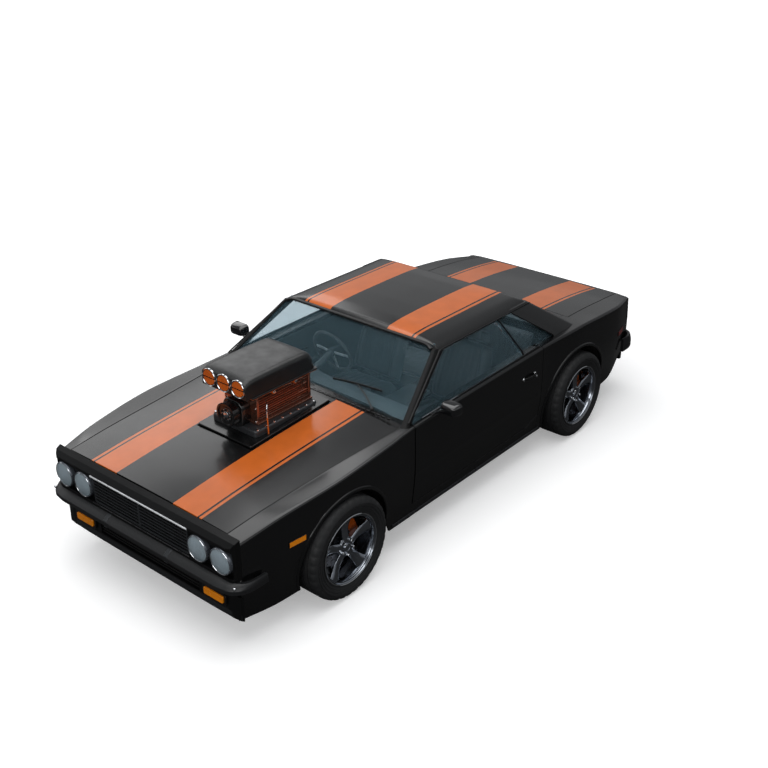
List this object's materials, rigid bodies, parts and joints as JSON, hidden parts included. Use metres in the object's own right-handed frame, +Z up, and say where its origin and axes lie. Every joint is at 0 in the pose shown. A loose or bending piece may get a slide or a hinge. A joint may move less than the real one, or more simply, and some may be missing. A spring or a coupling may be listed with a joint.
{
  "type": "muscle car",
  "caption": "Two-door muscle coupe with a blown engine through its bonnet, quad lamps, opening doors and lids, steering and turning wheels",
  "frame": {"origin": "on the ground under the middle of the car's bounding box", "axes": "+X to the car's left side, -Y to its front, +Z up"},
  "size_m": [2.18, 4.74, 1.3449],
  "materials": {
    "paint_black": "gloss",
    "trim_black": "satin",
    "bumper_black": "satin",
    "underbody": "matt",
    "orange": "gloss",
    "window_glass": "clear tint",
    "lamp_glass": "fluted",
    "red_lens": "gloss",
    "tyre": "matt",
    "wheel_chrome": "dark chrome",
    "grille_dark": "satin",
    "seat_leather": "satin",
    "cabin_plastic": "matt",
    "cast_iron": "as cast",
    "axle_steel": "painted",
    "spring_steel": "dull",
    "exhaust_steel": "dull",
    "tank_steel": "galvanised",
    "blower_alloy": "black cast",
    "scoop_alloy": "black satin",
    "pulley_alloy": "machined"
  },
  "bodies": {
    "car_body": {"floor": "underbody", "sills": "paint_black", "firewall": "underbody", "windscreen_frame": "paint_black", "roof": "paint_black", "rear_deck_panel": "paint_black", "front_wing_left": "paint_black", "front_wing_right": "paint_black", "rear_quarter_left": "paint_black", "rear_quarter_right": "paint_black", "front_panel": "paint_black", "front_valance": "paint_black", "radiator_support": "underbody", "tail_panel": "paint_black", "rear_valance": "paint_black", "grille": "grille_dark", "headlamps": "lamp_glass", "tail_lamps": "red_lens", "front_bumper": "bumper_black", "rear_bumper": "bumper_black", "fixed_windows": "window_glass", "wheel_liners": "underbody", "front_subframe": "underbody", "engine": "cast_iron", "exhaust": "exhaust_steel", "fuel_tank": "tank_steel", "rear_axle": "axle_steel", "leaf_springs": "spring_steel", "rear_calipers": "orange", "dashboard": "cabin_plastic", "steering_wheel": "cabin_plastic", "seats": "seat_leather", "blower_plate": "trim_black", "blower_case": "blower_alloy", "blower_pulley": "pulley_alloy", "blower_scoop": "scoop_alloy", "scoop_butterflies": "orange"},
    "bonnet_body": {"bonnet": "paint_black"},
    "boot_lid_body": {"boot_lid": "paint_black"},
    "left_door_body": {"door_left": "paint_black", "door_glass_left": "window_glass", "mirror_left": "trim_black"},
    "left_knuckle_body": {"knuckle_left": "axle_steel", "front_caliper_left": "orange"},
    "front_left_wheel_body": {"front_wheel_left": "wheel_chrome", "front_tyre_left": "tyre"},
    "rear_left_wheel_body": {"rear_wheel_left": "wheel_chrome", "rear_tyre_left": "tyre"},
    "right_door_body": {"door_right": "paint_black", "door_glass_right": "window_glass", "mirror_right": "trim_black"},
    "right_knuckle_body": {"knuckle_right": "axle_steel", "front_caliper_right": "orange"},
    "front_right_wheel_body": {"front_wheel_right": "wheel_chrome", "front_tyre_right": "tyre"},
    "rear_right_wheel_body": {"rear_wheel_right": "wheel_chrome", "rear_tyre_right": "tyre"}
  },
  "joints": [
    {"name": "bonnet_hinge", "type": "hinge", "parent": "car_body", "child": "bonnet_body", "pos_m": [0, -2.25, 0.824], "axis": [1, 0, 0], "range_deg": [0, 62]},
    {"name": "boot_lid_hinge", "type": "hinge", "parent": "car_body", "child": "boot_lid_body", "pos_m": [0, 1.424, 0.964], "axis": [1, 0, 0], "range_deg": [0, 62]},
    {"name": "left_door_hinge", "type": "hinge", "parent": "car_body", "child": "left_door_body", "pos_m": [0.893, -0.675, 0.6], "axis": [0, 0, -1], "range_deg": [0, 62]},
    {"name": "left_steering", "type": "hinge", "parent": "car_body", "child": "left_knuckle_body", "pos_m": [0.742, -1.43, 0.354], "axis": [0, 0, 1], "range_deg": [-32, 32]},
    {"name": "front_left_wheel_spin", "type": "hinge", "parent": "left_knuckle_body", "child": "front_left_wheel_body", "pos_m": [0.842, -1.43, 0.354], "axis": [1, 0, 0], "continuous": true},
    {"name": "rear_left_wheel_spin", "type": "hinge", "parent": "car_body", "child": "rear_left_wheel_body", "pos_m": [0.842, 1.33, 0.354], "axis": [1, 0, 0], "continuous": true},
    {"name": "right_door_hinge", "type": "hinge", "parent": "car_body", "child": "right_door_body", "pos_m": [-0.893, -0.675, 0.6], "axis": [0, 0, 1], "range_deg": [0, 62]},
    {"name": "right_steering", "type": "hinge", "parent": "car_body", "child": "right_knuckle_body", "pos_m": [-0.742, -1.43, 0.354], "axis": [0, 0, 1], "range_deg": [-32, 32]},
    {"name": "front_right_wheel_spin", "type": "hinge", "parent": "right_knuckle_body", "child": "front_right_wheel_body", "pos_m": [-0.842, -1.43, 0.354], "axis": [1, 0, 0], "continuous": true},
    {"name": "rear_right_wheel_spin", "type": "hinge", "parent": "car_body", "child": "rear_right_wheel_body", "pos_m": [-0.842, 1.33, 0.354], "axis": [1, 0, 0], "continuous": true}
  ],
  "couplings": [
    {"joint": "right_steering", "follows": "left_steering", "ratio": 1}
  ]
}
